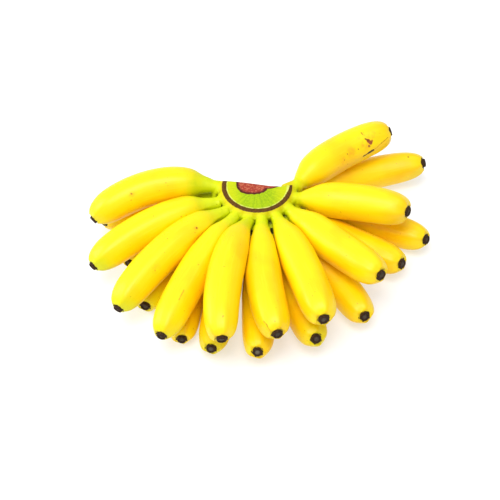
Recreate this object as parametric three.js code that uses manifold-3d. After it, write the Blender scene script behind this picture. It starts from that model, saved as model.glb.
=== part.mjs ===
// A hand of small dessert bananas, resting crown up with its lower fingers on the table.
// Two rows of fingers fan out round the front of the crown. The upper row lies on the lower one, and
// where two fingers touch they press each other flat. Each finger is one fruit, from the end of its
// stalk to the dry stub of its flower, and it meets the crown at a stub where it would snap off.
// Frame: millimetres, +Z up, +X to the right and -Y to the front of the hand, where most fingers point.
import * as THREE from "three";
import { mergeVertices } from "three/addons/utils/BufferGeometryUtils.js";
import Module from "manifold-3d";

const wasm = await Module();
wasm.setup();

// Driving dimensions, in millimetres.
const cutHeight = 50.5; // the crown's cut face above the table
const seatRadius = 34; // where the fingers' stalks begin, from the crown's axis
const stubLength = 13;
const stubFlare = 1.1; // how much wider a stub is inside the crown
const stubFocus = -14; // the stubs spread from the crown's middle, this far in front of its axis
const snapGap = 0.3; // between a stub of the crown and its finger's stalk
const pressGap = 0.55; // between two fingers that touch
const upperDepth = 6.5; // the upper stalks' axes below the cut face
const lowerDepth = 17.5;

// One entry a finger, from the left hand end round the front to the right hand end, angles in degrees.
// seat: bearing of its stub from the crown's axis. bearing, pitch: the way the finger sets out.
// swing, rise: how far it has turned sideways and curved up by its tip.
// length: along the finger, stalk included. girth: its largest diameter.
const upperRow = [
  { seat: 171, bearing: 168, swing: 54, pitch: 5, rise: -25, length: 107, girth: 29 },
  { seat: 202, bearing: 194, swing: 32, pitch: -3, rise: -8, length: 113, girth: 27.8 },
  { seat: 221, bearing: 215, swing: 26, pitch: 0, rise: -13, length: 119, girth: 27.6 },
  { seat: 237, bearing: 237, swing: 15, pitch: -4, rise: -1, length: 120, girth: 26.6 },
  { seat: 257, bearing: 247, swing: 29, pitch: 11, rise: -19, length: 118, girth: 27.2 },
  { seat: 276, bearing: 267, swing: 18, pitch: -5, rise: 10, length: 108, girth: 27.8 },
  { seat: 298, bearing: 293, swing: -12, pitch: -3, rise: 12, length: 107, girth: 28.4 },
  { seat: 321, bearing: 315, swing: -5, pitch: -5, rise: 20, length: 98, girth: 28.4 },
  { seat: 346, bearing: 363, swing: -34, pitch: -2, rise: 14, length: 90, girth: 29.6 },
  { seat: 373, bearing: 416, swing: -46, pitch: -4, rise: 20, length: 99, girth: 29.6 },
];
const lowerRow = [
  { seat: 165, bearing: 160, swing: 58, pitch: -27, rise: 33, length: 103, girth: 27.6 },
  { seat: 187, bearing: 184, swing: 60, pitch: -33, rise: 42, length: 91, girth: 26.6 },
  { seat: 208, bearing: 208, swing: 52, pitch: -30, rise: 39, length: 103, girth: 26.6 },
  { seat: 228, bearing: 230, swing: 42, pitch: -28, rise: 35, length: 110, girth: 25.6 },
  { seat: 247, bearing: 254, swing: 9, pitch: -28, rise: 41, length: 110, girth: 26.4 },
  { seat: 268, bearing: 274, swing: -7, pitch: -34, rise: 57, length: 112, girth: 25.8 },
  { seat: 289, bearing: 292, swing: -8, pitch: -37, rise: 67, length: 111, girth: 26.8 },
  { seat: 309, bearing: 326, swing: -40, pitch: -33, rise: 54, length: 108, girth: 27 },
  { seat: 333, bearing: 351, swing: -34, pitch: -34, rise: 55, length: 100, girth: 27.4 },
  { seat: 359, bearing: 367, swing: -46, pitch: -32, rise: 51, length: 115, girth: 27.4 },
  { seat: 378, bearing: 408, swing: -57, pitch: -29, rise: 53, length: 128, girth: 28 },
];

// The rings a finger is swept through: share of its length, and share of its half girth.
const fingerRings = [
  [0, 0.36], [0.03, 0.41], [0.06, 0.52], [0.1, 0.66], [0.15, 0.785], [0.21, 0.88], [0.28, 0.95], [0.36, 0.99],
  [0.45, 1], [0.55, 1], [0.65, 0.99], [0.75, 0.965], [0.83, 0.92], [0.89, 0.85], [0.933, 0.755],
  [0.963, 0.62], [0.982, 0.45], [0.984, 0.32], [1, 0.29],
];
const socketRings = 4; // of them are the stalk
const fingerSides = 15;
const fingerSteps = 44; // along a finger, to follow its bend and feel for its neighbours

// The crown's levels: depth below the cut face, radius of its front, and how far back it reaches.
const crownLevels = [
  [0, 27.6, 3.6], [1.2, 29.4, 4.5], [3, 32, 5.2], [6.5, 34.8, 7],
  [12, 36.4, 8.6], [18.5, 36, 9], [23, 31, 6.5], [26, 23, 1],
];
const crownLean = -0.19; // the back of the crown comes forward this much to the right
const crownHollow = 2.4; // and is this much hollow
const crownHollowShift = 2.3; // more to the right than to the left, as this grows past 1
const crownArcSides = 26;
const crownBackSides = 6;

const up = new THREE.Vector3(0, 0, 1);

// The unit vector that a bearing and a pitch point along.
function direction(bearing, pitch) {
  const around = THREE.MathUtils.degToRad(bearing);
  const above = THREE.MathUtils.degToRad(pitch);
  return new THREE.Vector3(
    Math.cos(above) * Math.cos(around),
    Math.cos(above) * Math.sin(around),
    Math.sin(above),
  );
}

// A closed surface through rings of points, each ring with the same number, capped at both ends.
function loft(rings) {
  const count = rings[0].length;
  const points = rings.flat();
  const faces = [];
  rings.slice(1).forEach((ring, level) => {
    for (let side = 0; side < count; side += 1) {
      const here = level * count + side;
      const next = level * count + ((side + 1) % count);
      faces.push(here, next, next + count, here, next + count, here + count);
    }
  });
  [rings[0], rings[rings.length - 1]].forEach((ring, end) => {
    const middle = new THREE.Vector3();
    ring.forEach((point) => middle.addScaledVector(point, 1 / count));
    const pole = points.push(middle) - 1;
    for (let side = 0; side < count; side += 1) {
      const first = end * (rings.length - 1) * count + side;
      const second = end * (rings.length - 1) * count + ((side + 1) % count);
      faces.push(...(end === 0 ? [second, first, pole] : [first, second, pole]));
    }
  });
  const surface = new THREE.BufferGeometry().setFromPoints(points);
  surface.setIndex(faces);
  return surface;
}

// The beads along a finger's centre line: where it is, the way it heads and how thick it is.
function stringBeads(finger, depth) {
  const seat = direction(finger.seat, 0).multiplyScalar(seatRadius);
  const centre = seat.setZ(cutHeight - depth);
  const beads = [];
  for (let step = 0; step <= fingerSteps; step += 1) {
    const share = step / fingerSteps;
    const heading = direction(finger.bearing + finger.swing * share, finger.pitch + finger.rise * share);
    const next = fingerRings.findIndex((ring) => ring[0] >= share && ring[0] > 0);
    const [near, nearRadius] = fingerRings[next - 1];
    const [far, farRadius] = fingerRings[next];
    const radius = THREE.MathUtils.mapLinear(share, near, far, nearRadius, farRadius) * finger.girth / 2;
    beads.push({ centre: centre.clone(), heading, radius });
    centre.addScaledVector(heading, finger.length / fingerSteps);
  }
  return { ...finger, beads };
}

// Where the centre line is, and the way it heads, at a share of the finger's length.
function along(finger, share) {
  const step = Math.min(Math.floor(share * fingerSteps), fingerSteps - 1);
  const [near, far] = finger.beads.slice(step, step + 2);
  const centre = near.centre.clone().lerp(far.centre, share * fingerSteps - step);
  const heading = near.heading.clone().lerp(far.heading, share * fingerSteps - step).normalize();
  return { centre, heading };
}

// How far a point is outside a finger as it would grow on its own; negative inside it.
function outside(point, finger) {
  return Math.min(...finger.beads.map((bead) => point.distanceTo(bead.centre) - bead.radius));
}

// Draws a point of a finger's skin in until it is clear of the finger's neighbours and the table.
function press(point, centre, finger, others) {
  const skin = point.clone();
  const neighbours = others.filter((other) => outside(point, other) < pressGap);
  const crowded = (other) => outside(skin, other) - outside(skin, finger) < pressGap;
  for (let reach = 0.99; neighbours.some(crowded) && reach > 0.3; reach -= 0.01) {
    skin.lerpVectors(centre, point, reach);
  }
  return skin.setZ(Math.max(skin.z, 0));
}

// A circle of points square to a heading.
function circle(centre, heading, radius) {
  const across = new THREE.Vector3().crossVectors(heading, up).normalize();
  const over = new THREE.Vector3().crossVectors(across, heading);
  const ring = [];
  for (let side = 0; side < fingerSides; side += 1) {
    const turn = -side * 2 * Math.PI / fingerSides;
    const point = centre.clone().addScaledVector(across, Math.cos(turn) * radius);
    ring.push(point.addScaledVector(over, Math.sin(turn) * radius));
  }
  return ring;
}

// A finger's skin, ring by ring.
function growFinger(finger, others) {
  const start = snapGap / finger.length;
  return loft(fingerRings.map(([share, thickness]) => {
    const { centre, heading } = along(finger, Math.max(share, start));
    const ring = circle(centre, heading, thickness * finger.girth / 2);
    return ring.map((point) => press(point, centre, finger, others));
  }));
}

// One level of the crown: a half moon with its round side to the front.
function crownRing([depth, radius, back]) {
  const right = Math.asin(back / radius) + crownLean / 2;
  const left = -Math.PI - Math.asin(back / radius) + crownLean / 2;
  const ring = [];
  for (let side = 0; side <= crownArcSides; side += 1) {
    const turn = THREE.MathUtils.lerp(right, left, side / crownArcSides);
    ring.push(new THREE.Vector3(radius * Math.cos(turn), radius * Math.sin(turn), cutHeight - depth));
  }
  const first = ring[0];
  const last = ring[crownArcSides];
  for (let side = 1; side < crownBackSides; side += 1) {
    const share = side / crownBackSides;
    const point = last.clone().lerp(first, share);
    const hollow = crownHollow * Math.sin(share ** crownHollowShift * Math.PI);
    ring.push(point.setY(point.y - hollow));
  }
  return ring;
}

// The stub a finger grows from: level in the crown, and ending square to the way the finger sets out.
function stub(finger) {
  const radius = finger.girth / 2 * fingerRings[0][1];
  const { centre, heading } = finger.beads[0];
  const outward = new THREE.Vector3(centre.x, centre.y - stubFocus, 0).normalize();
  const root = centre.clone().addScaledVector(outward, -stubLength);
  return loft([circle(root, outward, radius * stubFlare), circle(centre, heading, radius)]);
}

// The room that a finger's stalk needs in the crown.
function socket(finger) {
  return loft(fingerRings.slice(0, socketRings).map(([share, thickness]) => {
    const { centre, heading } = along(finger, share);
    return circle(centre, heading, thickness * finger.girth / 2 + snapGap);
  }));
}

// A three.js surface as a solid for joining, and back again.
function toSolid(geometry) {
  geometry.deleteAttribute("normal");
  geometry.deleteAttribute("uv");
  const merged = mergeVertices(geometry, 1e-4);
  return new wasm.Manifold(new wasm.Mesh({
    numProp: 3,
    vertProperties: new Float32Array(merged.attributes.position.array),
    triVerts: new Uint32Array(merged.index.array),
  }));
}
function toGeometry(solid) {
  const mesh = solid.getMesh();
  const geometry = new THREE.BufferGeometry();
  geometry.setAttribute("position", new THREE.BufferAttribute(mesh.vertProperties, 3));
  geometry.setIndex(new THREE.BufferAttribute(mesh.triVerts, 1));
  return geometry;
}

const upper = upperRow.map((finger) => stringBeads(finger, upperDepth));
const lower = lowerRow.map((finger) => stringBeads(finger, lowerDepth));
const fingers = [...upper, ...lower];
const hand = new THREE.Group();

// Adds one named piece to the hand.
function addPiece(name, geometry, color, roughness) {
  const piece = new THREE.Mesh(geometry, new THREE.MeshStandardMaterial({ color, roughness }));
  piece.name = name;
  hand.add(piece);
}

const cushion = toSolid(loft(crownLevels.map(crownRing)));
const stubbed = fingers.reduce((solid, finger) => solid.add(toSolid(stub(finger))), cushion);
const uncut = fingers.reduce((solid, finger) => solid.subtract(toSolid(socket(finger))), stubbed);
const knifePass = new THREE.BoxGeometry(4 * seatRadius, 4 * seatRadius, stubLength);
knifePass.translate(0, 0, cutHeight + stubLength / 2);
addPiece("crown", toGeometry(uncut.subtract(toSolid(knifePass))), 0xb4c832, 0.6);
[["upper", upper], ["lower", lower]].forEach(([row, members]) => {
  members.forEach((finger, index) => {
    const others = fingers.filter((other) => other !== finger);
    const number = String(index + 1).padStart(2, "0");
    addPiece(`finger_${row}_${number}`, growFinger(finger, others), 0xf5dc14, 0.45);
  });
});

// The origin is under the middle of the hand, on the table.
const box = new THREE.Box3().setFromObject(hand);
const middle = box.getCenter(new THREE.Vector3()).setZ(box.min.z);
hand.children.forEach((piece) => piece.geometry.translate(-middle.x, -middle.y, -middle.z));

export default hand;
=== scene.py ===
import math

import bmesh
import bpy
import numpy as np
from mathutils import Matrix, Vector
from mathutils.bvhtree import BVHTree


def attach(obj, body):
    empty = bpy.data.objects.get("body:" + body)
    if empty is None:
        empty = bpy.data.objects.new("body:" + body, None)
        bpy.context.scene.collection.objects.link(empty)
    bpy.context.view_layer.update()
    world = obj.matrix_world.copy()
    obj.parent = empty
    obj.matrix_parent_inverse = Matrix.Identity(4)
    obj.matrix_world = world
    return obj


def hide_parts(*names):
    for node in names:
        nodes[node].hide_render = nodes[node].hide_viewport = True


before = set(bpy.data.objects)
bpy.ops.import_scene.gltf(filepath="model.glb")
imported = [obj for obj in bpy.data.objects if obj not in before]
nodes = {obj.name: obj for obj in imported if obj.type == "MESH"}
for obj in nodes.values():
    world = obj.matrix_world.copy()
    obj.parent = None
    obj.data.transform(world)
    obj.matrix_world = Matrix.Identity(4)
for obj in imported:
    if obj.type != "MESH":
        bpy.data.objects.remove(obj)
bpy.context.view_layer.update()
fingerNames = sorted(name for name in nodes if name.startswith("finger_"))


class Signal:  # a socket that takes part in Python expressions
    def __init__(self, builder, socket):
        self.builder = builder
        self.socket = socket

    def maths(self, operation, first, second):
        return self.builder.maths(operation, first, second)

    def __add__(self, other):
        return self.maths("ADD", self, other)

    def __radd__(self, other):
        return self.maths("ADD", other, self)

    def __sub__(self, other):
        return self.maths("SUBTRACT", self, other)

    def __rsub__(self, other):
        return self.maths("SUBTRACT", other, self)

    def __mul__(self, other):
        return self.maths("MULTIPLY", self, other)

    def __rmul__(self, other):
        return self.maths("MULTIPLY", other, self)

    def __pow__(self, other):
        return self.maths("POWER", self, other)

    def least(self, other):
        return self.maths("MINIMUM", self, other)

    def most(self, other):
        return self.maths("MAXIMUM", self, other)


class Builder:  # adds nodes to one tree, for a material or for Geometry Nodes
    def __init__(self, tree):
        self.tree = tree

    def add(self, kind, settings=None, sockets=None, output=0):
        node = self.tree.nodes.new(kind)
        for name, value in (settings or {}).items():
            setattr(node, name, value)
        for name, value in (sockets or {}).items():
            if isinstance(value, Signal):
                self.tree.links.new(value.socket, node.inputs[name])
            else:
                node.inputs[name].default_value = value
        return None if output is None else Signal(self, node.outputs[output])

    def maths(self, operation, first, second):
        return self.add("ShaderNodeMath", {"operation": operation}, {0: first, 1: second})

    def axis(self, vector, number):  # one of a vector's three numbers
        return self.add("ShaderNodeSeparateXYZ", {}, {0: vector}, number)

    def attribute(self, name, output="Fac"):
        return self.add("ShaderNodeAttribute", {"attribute_name": name}, output=output)

    def fade(self, value, low, high):  # 0 at low, 1 at high, smooth between
        sockets = {"Value": value, "From Min": low, "From Max": high}
        return self.add("ShaderNodeMapRange", {"interpolation_type": "SMOOTHSTEP"}, sockets)

    def noise(self, place, scale, detail=2.0, roughness=0.5):
        sockets = {"Vector": place, "Scale": scale, "Detail": detail, "Roughness": roughness}
        return self.add("ShaderNodeTexNoise", {}, sockets)

    def blend(self, amount, first, second):  # the first colour at 0, the second at 1
        first = first if isinstance(first, Signal) else (*first, 1)
        second = second if isinstance(second, Signal) else (*second, 1)
        return self.add("ShaderNodeMix", {"data_type": "RGBA"}, {0: amount, 6: first, 7: second}, output=2)

    def vector(self, operation, first, second=(0, 0, 0)):
        output = "Value" if operation in ("LENGTH", "DISTANCE", "DOT_PRODUCT") else 0
        return self.add("ShaderNodeVectorMath", {"operation": operation}, {0: first, 1: second}, output)

    def scaled(self, vector, amount):
        return self.add("ShaderNodeVectorMath", {"operation": "SCALE"}, {0: vector, "Scale": amount})


def newMaterial(name):
    material = bpy.data.materials.new(name)
    material.use_nodes = True
    material.node_tree.nodes.clear()
    return material, Builder(material.node_tree)


def finishMaterial(builder, sockets, bump=None):  # one Principled surface and its output
    if bump:
        height, distance = bump
        raised = {"Strength": 1.0, "Distance": distance, "Height": height}
        sockets["Normal"] = builder.add("ShaderNodeBump", {}, raised)
    surface = builder.add("ShaderNodeBsdfPrincipled", {}, sockets)
    builder.add("ShaderNodeOutputMaterial", {}, {"Surface": surface}, output=None)


camera = {
    "lens": 70.0,  # mm, on a 36 mm wide sensor
    "elevation": 50.0,  # degrees above the floor
    "distance": 0.778,  # along the view, to the crown's cut face
    "crownRight": 0.0056,  # the crown's place in the view, right of and above its middle
    "crownUp": 0.0512,
    "clipStart": 0.01,
}
sameLevel = 1e-5  # points nearer in height than this are level, and points nearer than this are one


def crownAxis():  # the middle of the cut face's round edge, from the CAD crown
    points = np.array([v.co for v in nodes["crown"].data.vertices])
    rim = points[points[:, 2] > points[:, 2].max() - sameLevel]
    middle = (rim[:, 0].min() + rim[:, 0].max()) / 2
    return Vector((middle, rim[:, 1].min() + crown["cutRadius"], rim[0, 2]))


crown = {
    "cutRadius": 0.0276,
    "voxel": 0.0007,
    "smoothing": 6,  # rounds of it
    "sleeveBack": 0.008,  # how far the stubs' sleeves start behind the stalks' ends
    "sleeveAhead": 0.0080,  # and reach past them, thinning out
    "sleeveProud": 0.00045,  # over the stalk where it begins
    "sleeveSunk": 0.00055,  # and under its skin where it ends
    "sleeveRoot": 1.02,  # how much wider than the stalk the buried end is
    "sleeveSkip": 3,  # every third of the cage's points round it is enough
    # Depth and half width of the groove between each pair of stalks, from left to right, in mm.
    "grooves": [
        (6.0, 2.6), (5.5, 2.6), (4.5, 2.2), (4.2, 2.0), (5.0, 1.9), (5.5, 1.9), (5.0, 2.0), (4.5, 2.0),
        (4.0, 1.9),
    ],
    "grooveShallow": (0.0006, 0.003),  # starts this far outside the rim, and deepens over this length
    "grooveFull": (0.0325, 0.0045),  # the main fall, from the axis, and its length
    "grooveEarly": 0.3,  # the share of the depth that comes before the main fall
    "grooveBottom": (0.012, 0.004),  # below the cut face, where grooves end, and the length of that
    "creaseShadeDepth": 0.003,  # a groove this deep gets the full painted shade
    "pocketFrom": 0.0365,  # from here outwards the web's upward faces are painted as shade, a dark pocket
    "pocketHeight": 0.0022,
    "webRoot": 0.03,  # where the flesh between the two rows starts, from the axis
    "webReach": 0.0435,  # how far from the axis it goes
    "webEdge": 0.002,  # how far its edge is drawn out
    "webFrom": -172,  # degrees round the axis
    "webTo": 4,
    "webStep": 4,
    "webTop": 0.0120,  # below the cut face
    "webUnder": 0.0170,
}
cutCentre = crownAxis()


def placeCamera():
    tilt = math.radians(camera["elevation"])
    ahead = Vector((0, math.cos(tilt), -math.sin(tilt)))
    above = Vector((0, math.sin(tilt), math.cos(tilt)))
    place = cutCentre - ahead * camera["distance"] - above * camera["crownUp"]
    place.x -= camera["crownRight"]
    lens = bpy.data.cameras.new("camera")
    lens.lens = camera["lens"]
    lens.clip_start = camera["clipStart"]
    holder = bpy.data.objects.new("camera", lens)
    holder.location = place
    holder.rotation_euler = (math.pi / 2 - tilt, 0, 0)
    bpy.context.scene.collection.objects.link(holder)
    bpy.context.scene.camera = holder


placeCamera()
print("camera placed")


finger = {
    "pressGap": 0.0008,  # nearer a neighbour than this, the peel is pressed flat
    "freeGap": 0.0026,  # further than this, it is free
    "neighbours": 0.075,  # fingers whose middles are nearer than this may touch
    "feel": 0.004,  # how far a neighbour is looked for
    "neckPinch": 0.10,  # how much slimmer the neck is than the CAD finger's
    "pinch": {  # where it differs
        "finger_upper_01": 0.20, "finger_upper_02": 0.22, "finger_upper_03": 0.18, "finger_upper_04": 0.14,
    },
    "tipTaper": 0.05,  # how much slimmer the last stretch is
    "taper": {  # where it differs
        "finger_upper_01": 0.16, "finger_upper_02": 0.13, "finger_upper_03": 0.10, "finger_upper_04": 0.08,
    },
    "taperSpan": 0.016,
    "taperPower": 1.5,  # over 1, so that the taper starts gently
    "neckPlace": 0.010,
    "neckSpan": 0.0065,
    "ridges": 5.0,
    "ridgeHeight": 0.0003,  # along the body
    "ridgeAtTip": 0.00065,  # where the ridges run together
    "ridgeAtTipSpan": (0.030, 0.004),  # from the tip, where they start to rise and are highest
    "ridgeWidth": 0.4,
    "ridgeLevel": 0.42,  # the middle of their height, so that the finger's girth stays
    "ridgeTurn": 0.11,  # of a turn, so that one ridge lies up and to the left
    "ridgeWander": 0.06,  # of a turn
    "wanderSize": (8, 8, 22),  # to the metre, round and along the finger
    "lumpHeight": 0.00035,
    "lumpSize": 45.0,  # lumps to the metre
    "lumpSeed": 7.0,  # after the ridges' own
    "witherHeight": 0.0006,  # of the dry flower end's wrinkles
    "witherSize": 700.0,
    "smoothStalk": (0.004, 0.022),  # along the finger, where ridges and lumps begin and are full
    "seedStep": 3.7,  # from one finger's pattern to the next
    "columns": 6,  # of quads to each side of the CAD finger
    "rowStep": 0.0011,  # along the finger
    "tuckIn": 0.0022,  # how far the stalk reaches into its stub
    "dryShare": 0.285,  # the flower end's half width, to the half girth
    # The flower end, row by row: share of the half girth, and height above the shoulder round it.
    "flowerEnd": [
        (0.405, 0.0000), (0.360, -0.0001), (0.320, -0.0002), (0.290, -0.0001), (0.282, 0.0006),
        (0.272, 0.0012), (0.256, 0.0016), (0.235, 0.0017), (0.210, 0.0015), (0.180, 0.00105),
        (0.140, 0.0008), (0.105, 0.0009), (0.080, 0.0012), (0.050, 0.0014),
    ],
    "dryFrom": 4,  # the first of those rows that is dry
    "coreRows": (0.5, 1, 1, 1),  # how pale the last rows are
    "poleHeight": 0.86,  # of the middle, to the CAD flower end's height
}


def mergedCopy(node):  # the CAD node's loose triangles, joined
    shell = bmesh.new()
    shell.from_mesh(node.data)
    bmesh.ops.remove_doubles(shell, verts=shell.verts, dist=sameLevel)
    return shell


def ringOrder(level):  # a ring's points in order round it
    members = set(level)
    first = level[0]
    ring = [first]
    while True:
        near = [e.other_vert(ring[-1]) for e in ring[-1].link_edges]
        near = [v for v in near if v in members and v not in ring]
        if not near:
            return np.array([v.co for v in ring])
        ring.append(near[0])


def fingerRings(node):  # the CAD finger's rings of points, from the stalk's end to the flower end
    shell = mergedCopy(node)
    poles = sorted(shell.verts, key=lambda v: -len(v.link_edges))[:2]
    poles.sort(key=lambda v: (v.co - cutCentre).length)
    levels = [[poles[0]]]
    seen = {poles[0]}
    while len(levels) == 1 or len(levels[-1]) > 1:
        ahead = {e.other_vert(v) for v in levels[-1] for e in v.link_edges} - seen
        seen |= ahead
        levels.append(sorted(ahead, key=lambda v: v.index))
    tip = np.array(poles[1].co)
    rings = [ringOrder(level) for level in levels[1:-1]]
    shell.free()
    return rings, tip


def headings(centres):
    ways = np.gradient(centres, axis=0)
    return ways / np.linalg.norm(ways, axis=1)[:, None]


def sideways(ways):  # level across each heading, and square to both
    across = np.cross(ways, (0, 0, 1.0))
    across /= np.linalg.norm(across, axis=1)[:, None]
    return across, np.cross(across, ways)


def lineUp(rings):  # every ring starts on the same side and turns the same way
    centres = np.array([ring.mean(0) for ring in rings])
    ways = headings(centres)
    across, over = sideways(ways)
    sides = len(rings[0])
    lined = []
    for ring, centre, side, top in zip(rings, centres, across, over):
        turn = np.arctan2((ring - centre) @ -top, (ring - centre) @ side)
        ring = ring[np.argsort(turn)]
        if lined:
            wanted = lined[-1] - lined[-1].mean(0) + centre
            misfits = [np.sum((np.roll(ring, shift, 0) - wanted) ** 2) for shift in range(sides)]
            ring = np.roll(ring, int(np.argmin(misfits)), 0)
        lined.append(ring)
    return np.array(lined), centres, ways


def splineRound(rings, parts):  # closed Catmull-Rom round each ring
    before, after, second = (np.roll(rings, s, 1) for s in (1, -1, -2))
    shares = np.arange(parts) / parts
    blends = [catmull(before, rings, after, second, t) for t in shares]
    return np.stack(blends, 2).reshape(len(rings), -1, 3)


def catmull(a, b, c, d, t):  # a smooth curve from b to c, shaped by a before and d after
    square, cube = (2 * a - 5 * b + 4 * c - d) * t ** 2, (3 * b - a - 3 * c + d) * t ** 3
    return 0.5 * (2 * b + (c - a) * t + square + cube)


def splineAlong(rings, travel, step):  # rows between the rings, and how far along each one is
    slopes = np.gradient(rings, travel, axis=0)
    rows, places = [], []
    for k in range(len(rings) - 1):
        gap = travel[k + 1] - travel[k]
        count = max(1, int(math.ceil(gap / step)))
        for t in np.arange(count) / count:
            rows.append(
                rings[k] * (1 + 2 * t) * (1 - t) ** 2 + slopes[k] * gap * t * (1 - t) ** 2
                + rings[k + 1] * t ** 2 * (3 - 2 * t) + slopes[k + 1] * gap * t ** 2 * (t - 1)
            )
            places.append(travel[k] + gap * t)
    rows.append(rings[-1])
    places.append(travel[-1])
    return np.array(rows), np.array(places)


def fingerCage(name):  # a fine grid of points over one finger, and what its rows need
    rings, tip = fingerRings(nodes[name])
    rings, centres, ways = lineUp(rings)
    body = rings[:-2]  # the last two are the flower end
    travel = np.concatenate([[0], np.cumsum(np.linalg.norm(np.diff(centres, axis=0), axis=1))])
    reaches = [np.linalg.norm(ring - centre, axis=1).max() for ring, centre in zip(rings, centres)]
    halfGirth = np.sort(reaches)[-3]  # the third widest ring, past any odd one
    tucked = body[:1] - ways[0] * finger["tuckIn"]
    body = np.concatenate([tucked, body])
    travelBody = np.concatenate([[-finger["tuckIn"]], travel[:-2]])
    pinch = finger["pinch"].get(name, finger["neckPinch"])
    rows, places = splineAlong(splineRound(body, finger["columns"]), travelBody, finger["rowStep"])
    slim = 1 - pinch * np.exp(-((places - finger["neckPlace"]) / finger["neckSpan"]) ** 2)
    taper = finger["taper"].get(name, finger["tipTaper"])
    nearTip = np.clip(1 - (places[-1] - places) / finger["taperSpan"], 0, 1)
    slim *= 1 - taper * nearTip ** finger["taperPower"]
    middles = rows.mean(1)[:, None]
    rows = middles + (rows - middles) * slim[:, None, None]
    last = rows[-1]
    heart = last.mean(0)
    reach = np.linalg.norm(last - heart, axis=1)[:, None]
    endGirth = halfGirth * (1 - taper)
    spokes = (last - heart) / reach
    tipWay = (tip - heart) / np.linalg.norm(tip - heart)
    rise = np.linalg.norm(tip - heart)
    shares, heights = np.array(finger["flowerEnd"]).T
    lifts = np.where(heights > 0, heights / heights.max() * rise, heights)
    ends = [heart + spokes * share * endGirth + tipWay * lift for share, lift in zip(shares, lifts)]
    grid = np.concatenate([rows, ends])
    pastEdge = (shares - finger["dryShare"]) * endGirth
    steps = np.linalg.norm(np.diff(rows, axis=0), axis=2).mean(1)
    toShoulder = np.concatenate([np.cumsum(steps[::-1])[::-1], [0]]) + pastEdge[0]
    dry = np.concatenate([np.zeros(len(rows)), np.arange(len(ends)) >= finger["dryFrom"]])
    return {
        "grid": grid,
        "along": np.concatenate([places, places[-1] + np.maximum(heights, 0)]),
        "dry": dry,
        "fromEdge": np.concatenate([toShoulder, pastEdge]),
        "halfGirth": halfGirth,
        "length": travel[-1] + np.linalg.norm(tip - centres[-1]),
        "base": grid[0].mean(0),
        "pole": heart + tipWay * rise * finger["poleHeight"],
    }


def gridMesh(name, grid, firstPole, lastPole):  # a closed skin over rows of points, with two poles
    rows, columns = grid.shape[:2]
    points = np.concatenate([grid.reshape(-1, 3), [firstPole, lastPole]])
    faces = []
    for row in range(rows - 1):
        for column in range(columns):
            here, beside = row * columns + column, row * columns + (column + 1) % columns
            faces.append((here, beside, beside + columns, here + columns))
    for column in range(columns):
        beside = (column + 1) % columns
        faces.append((beside, column, rows * columns))
        faces.append(((rows - 1) * columns + column, (rows - 1) * columns + beside, rows * columns + 1))
    mesh = bpy.data.meshes.new(name)
    mesh.from_pydata(points.tolist(), [], faces)
    mesh.update()
    piece = bpy.data.objects.new(name, mesh)
    bpy.context.scene.collection.objects.link(piece)
    return piece


def storeValues(mesh, name, values, kind="FLOAT"):
    attribute = mesh.attributes.new(name, kind, "POINT")
    field = "vector" if kind == "FLOAT_VECTOR" else "value"
    attribute.data.foreach_set(field, np.asarray(values, np.float32).ravel())


def straightened(cage):  # each point's place if the finger were a straight, even rod
    grid = cage["grid"]
    centres = grid.mean(1)
    across, over = sideways(headings(centres))
    flat = np.empty_like(grid)
    for row, (points, centre, side, top) in enumerate(zip(grid, centres, across, over)):
        turn = np.arctan2((points - centre) @ -top, (points - centre) @ side)
        flat[row, :, 0] = cage["halfGirth"] * np.cos(turn)
        flat[row, :, 1] = cage["halfGirth"] * np.sin(turn)
        flat[row, :, 2] = cage["along"][row]
    ends = [(0, 0, cage["along"][0]), (0, 0, cage["along"][-1])]
    return np.concatenate([flat.reshape(-1, 3), ends])


cages = {name: fingerCage(name) for name in fingerNames}
print("finger cages read:", len(cages))


def tone(red, green, blue):  # a colour as a screen shows it, 0 to 255, made linear
    shares = [c / 255 for c in (red, green, blue)]
    return tuple(s / 12.92 if s < 0.04045 else ((s + 0.055) / 1.055) ** 2.4 for s in shares)


# How free each point is of its neighbours: 0 where two fingers press together, 1 in the open.
def freedom(name):
    points = cages[name]["grid"].reshape(-1, 3)
    others = []
    for other in fingerNames:
        gap = np.linalg.norm(cages[other]["grid"].reshape(-1, 3).mean(0) - points.mean(0))
        if other != name and gap < finger["neighbours"]:
            mesh = nodes[other].data
            corners, sides = [v.co for v in mesh.vertices], [p.vertices for p in mesh.polygons]
            others.append(BVHTree.FromPolygons(corners, sides))
    near = []
    for point in points:
        spot = Vector(point)
        hits = [tree.find_nearest(spot, finger["feel"])[3] for tree in others]
        near.append(min([hit for hit in hits if hit is not None], default=finger["feel"]))
    span = finger["freeGap"] - finger["pressGap"]
    share = np.clip((np.array(near) - finger["pressGap"]) / span, 0, 1)
    return share ** 2 * (3 - 2 * share)


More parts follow.
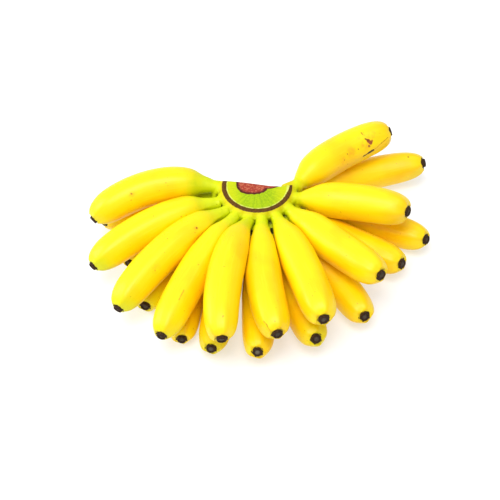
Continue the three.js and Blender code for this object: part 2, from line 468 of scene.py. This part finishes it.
def skinTree():  # Geometry Nodes: ridges, lumps and the withered flower end, raised from the skin
    tree = bpy.data.node_groups.new("banana skin", "GeometryNodeTree")
    sockets = [
        ("Skin", "NodeSocketGeometry"), ("Ridge height", "NodeSocketFloat"),
        ("Ridge at tip", "NodeSocketFloat"), ("Ridge width", "NodeSocketFloat"),
        ("Ridge turn", "NodeSocketFloat"), ("Lump height", "NodeSocketFloat"),
        ("Lump size", "NodeSocketFloat"), ("Seed", "NodeSocketFloat"), ("Peel", "NodeSocketMaterial"),
    ]
    for name, kind in sockets:
        tree.interface.new_socket(name=name, in_out="INPUT", socket_type=kind)
    tree.interface.new_socket(name="Skin", in_out="OUTPUT", socket_type="NodeSocketGeometry")
    b = Builder(tree)
    source = tree.nodes.new("NodeGroupInput")

    def given(name):
        return Signal(b, source.outputs[name])

    def stored(name, kind="FLOAT"):
        return b.add("GeometryNodeInputNamedAttribute", {"data_type": kind}, {"Name": name})

    def seeded(place, seed, size, detail):  # noise that differs from finger to finger
        sockets = {"Vector": place, "W": seed, "Scale": size, "Detail": detail}
        return b.add("ShaderNodeTexNoise", {"noise_dimensions": "4D"}, sockets)

    straight = stored("straight", "FLOAT_VECTOR")
    fromTip, free, dry = stored("fromTip"), stored("free"), stored("dry")
    turn = b.maths("ARCTAN2", b.axis(straight, 1), b.axis(straight, 0)) * (1 / (2 * math.pi))
    wander = seeded(b.vector("MULTIPLY", straight, finger["wanderSize"]), given("Seed"), 1.0, 1.0) - 0.5
    turn = turn + given("Ridge turn") + wander * finger["ridgeWander"]
    aboveNought = 10 * finger["ridges"]  # whole turns, so that no place round it is negative
    cell = b.maths("PINGPONG", turn * finger["ridges"] + aboveNought, 0.5)
    ridge = b.fade(cell, given("Ridge width"), 0.0)  # 1 on a ridge, 0 away from it
    nearTip = b.fade(fromTip, *finger["ridgeAtTipSpan"])
    height = given("Ridge height") + (given("Ridge at tip") - given("Ridge height")) * nearTip
    lumps = seeded(straight, given("Seed") + finger["lumpSeed"], given("Lump size"), 1.5) - 0.5
    wither = seeded(straight, given("Seed"), finger["witherSize"], 2.0) - 0.5
    raised = (ridge - finger["ridgeLevel"]) * height + lumps * given("Lump height")
    raised = raised * free * b.fade(b.axis(straight, 2), *finger["smoothStalk"])
    total = raised * (1 - dry) + wither * dry * finger["witherHeight"]
    offset = b.scaled(b.add("GeometryNodeInputNormal"), total)
    moved = b.add("GeometryNodeSetPosition", {}, {"Geometry": given("Skin"), "Offset": offset})
    marked = b.add("GeometryNodeStoreNamedAttribute", {"data_type": "FLOAT", "domain": "POINT"}, {
        "Geometry": moved, "Name": "ridge", "Value": ridge})
    real = b.add("GeometryNodeRealizeInstances", {}, {"Geometry": marked})
    dressed = b.add("GeometryNodeSetMaterial", {}, {"Geometry": real, "Material": given("Peel")})
    b.add("NodeGroupOutput", {}, {"Skin": dressed}, output=None)
    return tree


def applyTree(piece, tree, values):  # runs a tree on a piece and keeps its result as plain mesh
    change = piece.modifiers.new("shape", "NODES")
    change.node_group = tree
    for item in tree.interface.items_tree:
        if item.in_out == "INPUT" and item.name in values:
            change[item.identifier] = values[item.name]
    piece.update_tag()
    graph = bpy.context.evaluated_depsgraph_get()
    graph.update()
    mesh = bpy.data.meshes.new_from_object(piece.evaluated_get(graph), depsgraph=graph)
    piece.modifiers.remove(change)
    old = piece.data
    piece.data = mesh
    bpy.data.meshes.remove(old)
    mesh.name = piece.name
    mesh.shade_smooth()
    return piece


peel = {
    "yellow": tone(251, 213, 2),
    "warm": tone(250, 188, 2),
    "pale": tone(252, 228, 44),
    "stalk": tone(204, 213, 5),
    "stalkStreak": tone(184, 200, 4),
    "unripe": tone(192, 210, 6),
    "dark": tone(40, 24, 12),
    "dryLight": tone(92, 58, 26),
    "scar": tone(150, 72, 40),
    "knock": tone(226, 130, 40),
    "line": tone(120, 62, 14),
    "core": tone(150, 138, 118),
    "roughness": 0.34,
    "specular": 0.28,
    "bump": 0.00022,
    "greenSpan": (0.059, 0.034),  # from the crown's axis, where the green begins and is full
    "greenUneven": 0.012,
    "greenLeft": 0.16,  # how much further it reaches for each metre to the left
    "streakSize": 700.0,  # these are to the metre
    "freckleSize": 520.0,
    "mottleSize": 230.0,
    "raggedSize": 900.0,
    "poreSize": 1500.0,
    "ridgeWarm": 0.5,  # how strong each of these is
    "streaks": 0.22,
    "freckles": 0.55,
    "unripeTip": 0.12,
    "dryCore": 0.3,
    "unripeSpan": (0.024, 0.002),  # from the tip
    "wobble": 0.0016,  # how far a mark's edge strays
    "spike": 0.0011,  # how far the brown runs up a ridge
    "spikeRagged": 0.0016,
}

# Marks on the peel: share along and turn round at both ends, half width and edge in mm, strength, colour.
marks = {
    "finger_upper_10": [
        (0.728, 0.775, 0.739, 0.858, 0.22, 0.3, 0.75, "line"),
        (0.755, 0.872, 0.772, 0.902, 1.3, 0.7, 0.95, "scar"),
        (0.780, 0.900, 0.790, 0.885, 0.6, 0.7, 0.8, "scar"),
        (0.746, 0.922, 0.747, 0.925, 0.7, 0.7, 0.85, "scar"),
        (0.738, 0.845, 0.755, 0.872, 0.5, 0.5, 0.9, "line"),
        (0.510, 0.890, 0.512, 0.891, 0.3, 0.6, 0.6, "line"),
        (0.633, 0.900, 0.634, 0.902, 0.3, 0.6, 0.6, "line"),
        (0.458, 0.924, 0.459, 0.925, 0.3, 0.6, 0.5, "line"),
        (0.665, 0.996, 0.719, 0.988, 0.35, 0.5, 0.95, "dark"),
        (0.719, 0.988, 0.775, 0.980, 0.8, 0.5, 0.95, "dark"),
        (0.786, 0.979, 0.868, 0.954, 0.1, 0.5, 0.4, "line"),
        (0.868, 0.954, 0.950, 0.934, 0.15, 0.5, 0.6, "line"),
    ],
    "finger_upper_01": [(0.645, 0.640, 0.646, 0.642, 0.4, 0.7, 0.7, "line")],
    "finger_upper_03": [
        (0.266, 0.656, 0.267, 0.658, 0.5, 0.8, 0.75, "line"),
        (0.673, 0.621, 0.674, 0.622, 0.3, 0.7, 0.4, "line"),
    ],
    "finger_upper_04": [(0.695, 0.697, 0.770, 0.695, 0.15, 0.45, 0.5, "line")],
    "finger_upper_05": [(0.886, 0.726, 0.887, 0.728, 0.35, 0.7, 0.5, "line")],
    "finger_upper_06": [
        (0.914, 0.879, 0.947, 0.871, 0.15, 0.5, 0.6, "line"),
        (0.947, 0.871, 0.975, 0.887, 0.15, 0.5, 0.6, "line"),
    ],
    "finger_lower_11": [(0.903, 0.765, 0.904, 0.767, 0.45, 0.7, 0.75, "line")],
}
# Where a finger differs from the rest.
ridgeTurns = {"finger_upper_10": 0.03, "finger_upper_09": 0.06, "finger_lower_11": 0.07}
blotches = {  # places reddened by knocks: share along, turn round, radius in mm, strength
    "finger_upper_10": [
        (0.72, 0.87, 9.0, 0.55), (0.80, 0.84, 7.0, 0.4), (0.56, 0.90, 7.0, 0.45), (0.46, 0.93, 6.0, 0.35),
    ],
    "finger_upper_01": [(0.64, 0.64, 5.0, 0.3)],
    "finger_upper_03": [(0.27, 0.66, 3.5, 0.4), (0.66, 0.63, 6.0, 0.2)],
}
dryCores = {"finger_lower_06": 0.8, "finger_lower_05": 0.6, "finger_upper_05": 0.5, "finger_upper_07": 0.45}
unripeTips = {
    "finger_upper_01": 0.45, "finger_upper_02": 0.75, "finger_upper_03": 0.65, "finger_upper_04": 0.4,
    "finger_lower_02": 0.4, "finger_lower_03": 0.4, "finger_lower_05": 0.3, "finger_lower_07": 0.3,
}


def axisDistance(b, place):  # how far a point is from the crown's upright axis
    apart = b.vector("SUBTRACT", place, tuple(cutCentre))
    return b.vector("LENGTH", b.vector("MULTIPLY", apart, (1, 1, 0)))


def stalkBlend(b, place):  # 1 by the crown, where stalks are green, 0 where the peel is ripe
    uneven = (b.noise(place, 90.0, 2.0) - 0.5) * peel["greenUneven"]
    across = b.axis(b.vector("SUBTRACT", place, tuple(cutCentre)), 0) * peel["greenLeft"]
    return b.fade(axisDistance(b, place) + uneven + across, *peel["greenSpan"])


def stalkColour(b, place):
    streak = b.noise(place, 260.0, 3.0)
    return b.blend(b.fade(streak, 0.35, 0.75) * 0.45, peel["stalk"], peel["stalkStreak"])


def ripeColour(b, place):
    return b.blend(b.fade(b.noise(place, 32.0, 2.0), 0.42, 0.68) * 0.55, peel["yellow"], peel["warm"])


def skinColour(b, place, ripe):  # ripe peel turning green towards the crown
    return b.blend(stalkBlend(b, place), ripe, stalkColour(b, place))


def segmentDistance(b, place, first, last):  # metres from a straight mark
    way = np.subtract(last, first)
    size = max(float(way @ way), 1e-12)
    apart = b.vector("SUBTRACT", place, tuple(first))
    share = b.vector("DOT_PRODUCT", apart, tuple(way / size))
    share = b.add("ShaderNodeClamp", {}, {"Value": share})
    return b.vector("DISTANCE", apart, b.scaled(tuple(way), share))


def onRod(cage, share, turn):  # a mark's end, in the finger's straightened coordinates
    angle, reach = turn * 2 * math.pi, cage["halfGirth"]
    return (reach * math.cos(angle), reach * math.sin(angle), share * cage["length"])


def paintPeel(name):
    cage = cages[name]
    material, b = newMaterial("peel " + name)
    place = b.add("ShaderNodeTexCoord", output="Object")
    straight = b.attribute("straight", "Vector")
    fromTip, ridge, dry = b.attribute("fromTip"), b.attribute("ridge"), b.attribute("dry")
    colour = ripeColour(b, place)
    streaks = b.noise(b.vector("MULTIPLY", straight, (1, 1, 0.07)), peel["streakSize"], 3.0)
    colour = b.blend(b.fade(streaks, 0.5, 0.72) * peel["streaks"], colour, peel["pale"])
    onRidge = b.fade(ridge, 0.55, 1.0) * b.fade(fromTip, 0.035, 0.006)
    colour = b.blend(onRidge * peel["ridgeWarm"], colour, peel["warm"])
    colour = skinColour(b, place, colour)
    unripe = b.fade(fromTip, *peel["unripeSpan"]) * unripeTips.get(name, peel["unripeTip"])
    colour = b.blend(unripe, colour, peel["unripe"])
    freckled = b.fade(b.noise(place, 60.0), 0.42, 0.6)  # only in places
    freckles = b.fade(b.noise(place, peel["freckleSize"], 1.0), 0.735, 0.775) * freckled
    colour = b.blend(freckles * peel["freckles"], colour, peel["line"])
    mottle = b.fade(b.noise(place, peel["mottleSize"], 3.0), 0.38, 0.66)
    for share, turn, reach, strength in blotches.get(name, []):
        away = b.vector("DISTANCE", straight, onRod(cage, share, turn))
        knock = b.fade(away, reach / 1000, 0.2 * reach / 1000)
        colour = b.blend(knock * mottle * strength, colour, peel["knock"])
    wobble = b.add("ShaderNodeTexNoise", {}, {"Vector": straight, "Scale": 420.0, "Detail": 3.0}, "Color")
    wobble = b.scaled(b.vector("SUBTRACT", wobble, (0.5, 0.5, 0.5)), peel["wobble"])
    warped = b.vector("ADD", straight, wobble)
    for shareA, turnA, shareB, turnB, halfWidth, edge, strength, shade in marks.get(name, []):
        away = segmentDistance(b, warped, onRod(cage, shareA, turnA), onRod(cage, shareB, turnB))
        mark = b.fade(away, (halfWidth + edge) / 1000, halfWidth / 1000)
        colour = b.blend(mark * strength, colour, peel[shade])
    ragged = b.noise(straight, peel["raggedSize"], 3.0)
    spike = ridge * peel["spike"] + (ragged - 0.5) * peel["spikeRagged"]  # brown runs up the ridges
    stain = b.fade(b.attribute("fromEdge") - spike, 0.0005, 0.0)
    withered = stain.most(b.fade(dry, 0.0, 0.3))
    brown = b.blend(b.fade(ragged, 0.42, 0.75), peel["dark"], peel["dryLight"])
    colour = b.blend(withered, colour, brown)
    colour = b.blend(b.attribute("core") * dryCores.get(name, peel["dryCore"]), colour, peel["core"])
    pores = b.noise(place, peel["poreSize"], 3.0, 0.6)
    height = pores * 0.35 + streaks * 0.5 + withered * (ragged * 3.0 - 1.5)
    roughness = b.fade(pores, 0.3, 0.8) * 0.12 + peel["roughness"] + withered * 0.3
    sockets = {"Specular IOR Level": peel["specular"], "Base Color": colour, "Roughness": roughness}
    finishMaterial(b, sockets, (height, peel["bump"]))
    return material


def makeFinger(name, tree, seed):
    cage = cages[name]
    piece = gridMesh(name + "_peel", cage["grid"], cage["base"], cage["pole"])
    mesh = piece.data
    columns = cage["grid"].shape[1]
    core = np.zeros(len(cage["along"]))
    core[-len(finger["coreRows"]):] = finger["coreRows"]
    shoulder = cage["along"][-len(finger["flowerEnd"])]
    perRow = {
        "dry": cage["dry"], "core": core, "fromEdge": cage["fromEdge"],
        "fromTip": np.maximum(shoulder - cage["along"], 0),
    }
    for label, values in perRow.items():
        storeValues(mesh, label, np.concatenate([np.repeat(values, columns), [values[0], values[-1]]]))
    storeValues(mesh, "free", np.concatenate([freedom(name), [1, 1]]))
    storeValues(mesh, "straight", straightened(cage), "FLOAT_VECTOR")
    applyTree(piece, tree, {
        "Ridge height": finger["ridgeHeight"], "Ridge at tip": finger["ridgeAtTip"],
        "Ridge width": finger["ridgeWidth"], "Ridge turn": ridgeTurns.get(name, finger["ridgeTurn"]),
        "Lump height": finger["lumpHeight"], "Lump size": finger["lumpSize"],
        "Seed": seed * finger["seedStep"], "Peel": paintPeel(name),
    })
    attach(piece, "root")
    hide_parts(name)


skin = skinTree()
for seed, name in enumerate(fingerNames):
    makeFinger(name, skin, seed)
print("fingers made")


def sleeve(cage):  # a plug over a stalk's start, so that stalk and crown run together
    rows = cage["grid"]
    centres = rows.mean(1)
    way = centres[1] - centres[0]
    way /= np.linalg.norm(way)
    travel = cage["along"] - cage["along"][0]
    reachAlong = finger["tuckIn"] + crown["sleeveAhead"]
    kept = travel < reachAlong
    rings = [rows[0] - way * crown["sleeveBack"]]
    for row, centre, place in zip(rows[kept], centres[kept], travel[kept]):
        spokes = row - centre
        reach = np.linalg.norm(spokes, axis=1)[:, None]
        grow = crown["sleeveProud"] - (crown["sleeveProud"] + crown["sleeveSunk"]) * place / reachAlong
        rings.append(centre + spokes * (1 + grow / reach))
    rings[0] = rings[0].mean(0) + (rings[0] - rings[0].mean(0)) * crown["sleeveRoot"]
    return np.array(rings)[:, ::crown["sleeveSkip"]]


def outlineInset(points, outline):  # distance inside the cut face's edge, less than 0 outside it
    starts, ends = outline, np.roll(outline, -1, 0)
    way = ends - starts
    apart = points[:, None, :2] - starts[None]
    share = np.clip((apart * way).sum(2) / (way ** 2).sum(1), 0, 1)
    gap = np.linalg.norm(apart - share[..., None] * way, axis=2).min(1)
    side = np.zeros(len(points), bool)
    for a, c in zip(starts, ends):
        crosses = (a[1] > points[:, 1]) != (c[1] > points[:, 1])
        with np.errstate(divide="ignore", invalid="ignore"):
            where = (c[0] - a[0]) * (points[:, 1] - a[1]) / (c[1] - a[1]) + a[0]
        side ^= crosses & (points[:, 0] < where)
    return np.where(side, gap, -gap)


def cutOutline():  # the cut face's edge, in order round it, from the CAD crown
    shell = mergedCopy(nodes["crown"])
    top = max(v.co.z for v in shell.verts)
    under = top - sameLevel
    edges = [e for e in shell.edges if min(v.co.z for v in e.verts) > under]
    rim = [e for e in edges if any(min(v.co.z for v in f.verts) < under for f in e.link_faces)]
    follow = {}
    for e in rim:
        for here, there in (e.verts, reversed(e.verts)):
            follow.setdefault(here, []).append(there)
    start = rim[0].verts[0]
    ring, last = [start], None
    while True:
        ahead = [v for v in follow[ring[-1]] if v is not last]
        last = ring[-1]
        if not ahead or ahead[0] is start:
            break
        ring.append(ahead[0])
    outline = np.array([v.co[:2] for v in ring])
    shell.free()
    return outline


def makeWeb():  # the flesh that joins the stalks of the two rows, below the gaps between them
    low, high = -crown["webUnder"], -crown["webTop"]
    root, edge = crown["webRoot"], crown["webReach"]
    rounded = edge - crown["webEdge"]
    profile = [(root, high), (rounded, high), (edge, (low + high) / 2), (rounded, low), (root, low)]
    rings = []
    for degrees in range(crown["webFrom"], crown["webTo"], crown["webStep"]):
        turn = math.radians(degrees)
        out = np.array((math.cos(turn), math.sin(turn), 0))
        rings.append([cutCentre + Vector(out * reach + (0, 0, height)) for reach, height in profile])
    rings = np.array(rings)
    return gridMesh("web", rings, rings[0].mean(0), rings[-1].mean(0))


def cutGrooves(mesh, points):  # a crease from the rim outwards between each pair of stalks, and the masks for the painted shade in the creases and on the web
    normals = np.empty(len(points) * 3, np.float32)
    mesh.vertex_normals.foreach_get("vector", normals)
    normals = normals.reshape(-1, 3)
    apart = points - np.array(cutCentre)
    reach = np.hypot(apart[:, 0], apart[:, 1])
    turn = np.arctan2(apart[:, 1], apart[:, 0])
    seats = [cages[name]["base"] - np.array(cutCentre) for name in fingerNames if "upper" in name]
    behind = math.pi / 2  # the crown's straight back, which no stalk leaves
    bearings = np.sort([(math.atan2(seat[1], seat[0]) - behind) % (2 * math.pi) + behind for seat in seats])
    early, earlySpan = crown["grooveShallow"]
    full, fullSpan = crown["grooveFull"]
    bottom, bottomSpan = crown["grooveBottom"]
    shallow = np.clip((reach - crown["cutRadius"] - early) / earlySpan, 0, 1)
    deepening = np.clip((reach - full) / fullSpan, 0, 1)
    begin = crown["grooveEarly"] * shallow + (1 - crown["grooveEarly"]) * deepening
    fadeDown = np.clip((apart[:, 2] + bottom) / bottomSpan, 0, 1) * (normals[:, 2] > -0.2)
    sunk = np.zeros(len(points))
    for middle, (deep, half) in zip((bearings[1:] + bearings[:-1]) / 2, crown["grooves"]):
        beside = reach * np.sin(turn - middle)
        ahead = np.cos(turn - middle) > 0
        sunk = np.maximum(sunk, deep / 1000 * np.exp(-(beside / half * 1000) ** 2) * ahead)
    sunk *= begin * fadeDown
    points -= normals * sunk[:, None]
    mesh.vertices.foreach_set("co", points.astype(np.float32).ravel())
    # groove depth, which sets how much painted shade the crown's colour gets there
    storeValues(mesh, "crease", sunk / crown["creaseShadeDepth"])
    # the web's upward faces, out from pocketFrom, get painted shade where the gaps between the stalks are
    # dark
    onWeb = np.abs(apart[:, 2] + crown["webTop"]) < crown["pocketHeight"]
    pocketShade = onWeb & (normals[:, 2] > 0.75) & (reach > crown["pocketFrom"])
    storeValues(mesh, "pocketShade", pocketShade)


def makeCrown():
    shell = mergedCopy(nodes["crown"])
    mesh = bpy.data.meshes.new("crown_flesh")
    shell.to_mesh(mesh)
    shell.free()
    piece = bpy.data.objects.new("crown_flesh", mesh)
    bpy.context.scene.collection.objects.link(piece)
    plugs = [makeWeb()]
    for name in fingerNames:
        rings = sleeve(cages[name])
        plugs.append(gridMesh("plug", rings, rings[0].mean(0), rings[-1].mean(0)))
    joined = [piece, *plugs]
    with bpy.context.temp_override(
        active_object=piece, object=piece, selected_objects=joined, selected_editable_objects=joined
    ):
        bpy.ops.object.join()
    remesh = piece.modifiers.new("skin over", "REMESH")
    remesh.mode = "VOXEL"
    remesh.voxel_size = crown["voxel"]
    remesh.adaptivity = 0
    smooth = piece.modifiers.new("soften", "CORRECTIVE_SMOOTH")
    smooth.iterations = crown["smoothing"]
    smooth.use_only_smooth = True
    smooth.smooth_type = "SIMPLE"
    graph = bpy.context.evaluated_depsgraph_get()
    graph.update()
    fine = bpy.data.meshes.new_from_object(piece.evaluated_get(graph), depsgraph=graph)
    piece.modifiers.clear()
    piece.data = fine
    fine.name = "crown_flesh"
    fine.shade_smooth()
    points = np.empty(len(fine.vertices) * 3, np.float32)
    fine.vertices.foreach_get("co", points)
    points = points.reshape(-1, 3).astype(float)
    cutGrooves(fine, points)
    storeValues(fine, "inset", outlineInset(points, cutOutline()))
    fine.materials.clear()
    fine.materials.append(paintCrown())
    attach(piece, "root")
    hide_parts("crown")
    print("crown:", len(fine.polygons), "faces")


flesh = {
    "lime": tone(164, 190, 3),
    "deep": tone(126, 160, 2),
    "limeEnd": tone(204, 206, 4),
    "collar": tone(208, 168, 8),
    "pale": tone(214, 218, 110),
    "rim": tone(100, 66, 4),
    "bruise": tone(70, 42, 6),
    "patch": tone(150, 52, 38),
    "patchLight": tone(196, 116, 84),
    "patchEdge": tone(66, 20, 10),
    # painted shade for the grooves between the stalks and the web below them; in the grooves it is partly
    # the crevices' own dark colour
    "gap": tone(44, 40, 4),
    "specular": 0.18,
    "bump": 0.0003,
    "fibreSize": 900.0,
    "palePlace": (0.0042, 0.0034),  # in from the round edge, where the pale line ends
    "rimPlace": (0.0033, 0.0027),  # and where the brown skin ends
    "rimThins": 0.0014,  # by this much towards the right end
    "collarPlace": (-0.0045, -0.0006),  # outside the edge, where the skin has browned
    "endSpan": (0.009, 0.022),  # to either side, where the cut turns yellower
    # The dried patch: its middle and half size across and back, and how square it is.
    "patchPlace": (-0.0036, 0.0034, 0),
    "patchSize": (0.0130, 0.0124),
    "patchSquare": 2.5,
    "tailPlace": (0.0060, 0.0025, 0),
    "tailSize": (0.0130, 0.0058),
    "patchRagged": 0.14,
}


def paintCrown():
    material, b = newMaterial("crown flesh")
    place = b.add("ShaderNodeTexCoord", output="Object")
    local = b.vector("SUBTRACT", place, tuple(cutCentre))
    right, back, depth = (b.axis(local, number) for number in range(3))
    ragged = b.noise(place, 420.0, 3.0) - 0.5
    front = crown["cutRadius"] - axisDistance(b, place) + ragged * 0.0009  # in from the round edge
    fibres = b.noise(place, flesh["fibreSize"], 4.0, 0.6)

    outside = skinColour(b, place, ripeColour(b, place))
    facing = b.add("ShaderNodeNewGeometry", {}, {}, "Normal")
    scuffs = b.fade(b.noise(b.vector("MULTIPLY", place, (1, 1, 0.15)), 520.0, 4.0), 0.42, 0.70)
    backWall = b.fade(b.axis(facing, 1), 0.55, 0.95) * b.fade(axisDistance(b, place), 0.030, 0.022)
    outside = b.blend(scuffs * backWall * 0.4, outside, flesh["rim"])
    outside = b.blend(b.fade(front, *flesh["collarPlace"]) * 0.5, outside, flesh["collar"])
    # painted shade: the grooves between the stalks darken with depth, mostly shade and partly the crevices'
    # own dark colour
    outside = b.blend(b.fade(b.attribute("crease"), 0.25, 1.2) * 0.85, outside, flesh["gap"])
    # painted shade: the web's pocket between the two rows of stalks
    outside = b.blend(b.attribute("pocketShade"), outside, flesh["gap"])

    rays = b.noise(b.vector("NORMALIZE", b.vector("MULTIPLY", local, (1, 1, 0))), 9.0, 3.0, 0.7)
    face = b.blend(b.fade(fibres * 0.5 + rays * 0.5, 0.40, 0.62) * 0.8, flesh["lime"], flesh["deep"])
    toSide = b.axis(b.vector("ABSOLUTE", local), 0)
    face = b.blend(b.fade(toSide, *flesh["endSpan"]) * 0.6, face, flesh["limeEnd"])
    paleLine = b.fade(front, *flesh["palePlace"]) * b.fade(ragged, -0.25, 0.1)
    face = b.blend(paleLine * 0.8, face, flesh["pale"])
    skin = b.blend(b.fade(fibres, 0.3, 0.7), flesh["rim"], flesh["bruise"])
    horn = b.fade(right, 0.010, 0.020) * b.fade(back, -0.010, 0.002)  # the right end
    face = b.blend(b.fade(front + horn * flesh["rimThins"], *flesh["rimPlace"]), face, skin)

    def fromMiddle(middle, size):  # 1 at that size
        return b.vector("MULTIPLY", b.vector("SUBTRACT", local, middle), (1 / size[0], 1 / size[1], 0))

    apart = b.vector("ABSOLUTE", fromMiddle(flesh["patchPlace"], flesh["patchSize"]))
    power = flesh["patchSquare"]
    patch = (b.axis(apart, 0) ** power + b.axis(apart, 1) ** power) ** (1 / power)
    tail = b.vector("LENGTH", fromMiddle(flesh["tailPlace"], flesh["tailSize"]))
    patch = patch.least(tail) + ragged * flesh["patchRagged"]
    speckle = b.fade(b.noise(place, 700.0, 3.0, 0.65), 0.45, 0.7)
    brown = b.blend(speckle, flesh["patch"], flesh["patchLight"])
    brown = b.blend(b.fade(patch, 0.74, 0.95) * 0.95, brown, flesh["patchEdge"])
    face = b.blend(b.fade(patch, 1.04, 0.98), face, brown)

    onTop = b.fade(b.attribute("inset") + ragged * 0.0007, -0.0009, -0.0005)
    top = b.fade(depth, -0.0030, -0.0022) * onTop
    colour = b.blend(top, outside, face)
    height = fibres * 0.6 + b.noise(place, 2200.0, 2.0) * 0.3 + b.fade(patch, 1.05, 0.9) * top * -1.2
    roughness = b.fade(fibres, 0.3, 0.8) * 0.15 + 0.45
    sockets = {"Specular IOR Level": flesh["specular"], "Base Color": colour, "Roughness": roughness}
    finishMaterial(b, sockets, (height, flesh["bump"]))
    return material


makeCrown()
print("crown made")


room = {
    "floor": (0.52, 0.53, 0.56),
    "floorRoughness": 0.6,
    "floorSpecular": 0.2,
    "floorGlow": 0.47,
    "floorSize": 12.0,
    "skyLow": 0.55,  # away from the light
    "skyHigh": 0.90,  # towards it
    "skyTowards": (-0.35, 0.10, 0.93),
    "lamps": [  # place, size in metres and power in watts
        ((-0.15, -0.35, 1.20), 0.6, 10.0), ((-1.00, 0.15, 0.60), 0.5, 5.0),
    ],
    "lampsAim": (0, 0, 0.02),
}


def makeRoom():
    half = room["floorSize"] / 2
    mesh = bpy.data.meshes.new("floor")
    corners = [(-half, -half, 0), (half, -half, 0), (half, half, 0), (-half, half, 0)]
    mesh.from_pydata(corners, [], [(0, 1, 2, 3)])
    floor = bpy.data.objects.new("floor", mesh)
    bpy.context.scene.collection.objects.link(floor)
    material, b = newMaterial("pale floor")
    finishMaterial(b, {
        "Base Color": (*room["floor"], 1), "Roughness": room["floorRoughness"],
        "Specular IOR Level": room["floorSpecular"],
        "Emission Color": (1, 1, 1, 1), "Emission Strength": room["floorGlow"],
    })
    mesh.materials.append(material)
    world = bpy.data.worlds.new("studio")
    bpy.context.scene.world = world
    world.use_nodes = True
    world.node_tree.nodes.clear()
    b = Builder(world.node_tree)
    way = b.add("ShaderNodeTexCoord", output="Generated")
    high = b.fade(b.vector("DOT_PRODUCT", way, room["skyTowards"]), 0.1, 0.95)
    strength = room["skyLow"] + high * (room["skyHigh"] - room["skyLow"])
    sky = b.add("ShaderNodeBackground", {}, {"Color": (1, 1, 1, 1), "Strength": strength})
    b.add("ShaderNodeOutputWorld", {}, {"Surface": sky}, output=None)
    for place, size, power in room["lamps"]:
        lamp = bpy.data.lights.new("soft lamp", "AREA")
        lamp.energy = power
        lamp.size = size
        holder = bpy.data.objects.new("soft lamp", lamp)
        holder.location = place
        aim = Vector(room["lampsAim"]) - holder.location
        holder.rotation_euler = aim.to_track_quat("-Z", "Y").to_euler()
        bpy.context.scene.collection.objects.link(holder)
    bpy.context.scene.view_settings.view_transform = "Standard"


makeRoom()
print("floor and light ready")
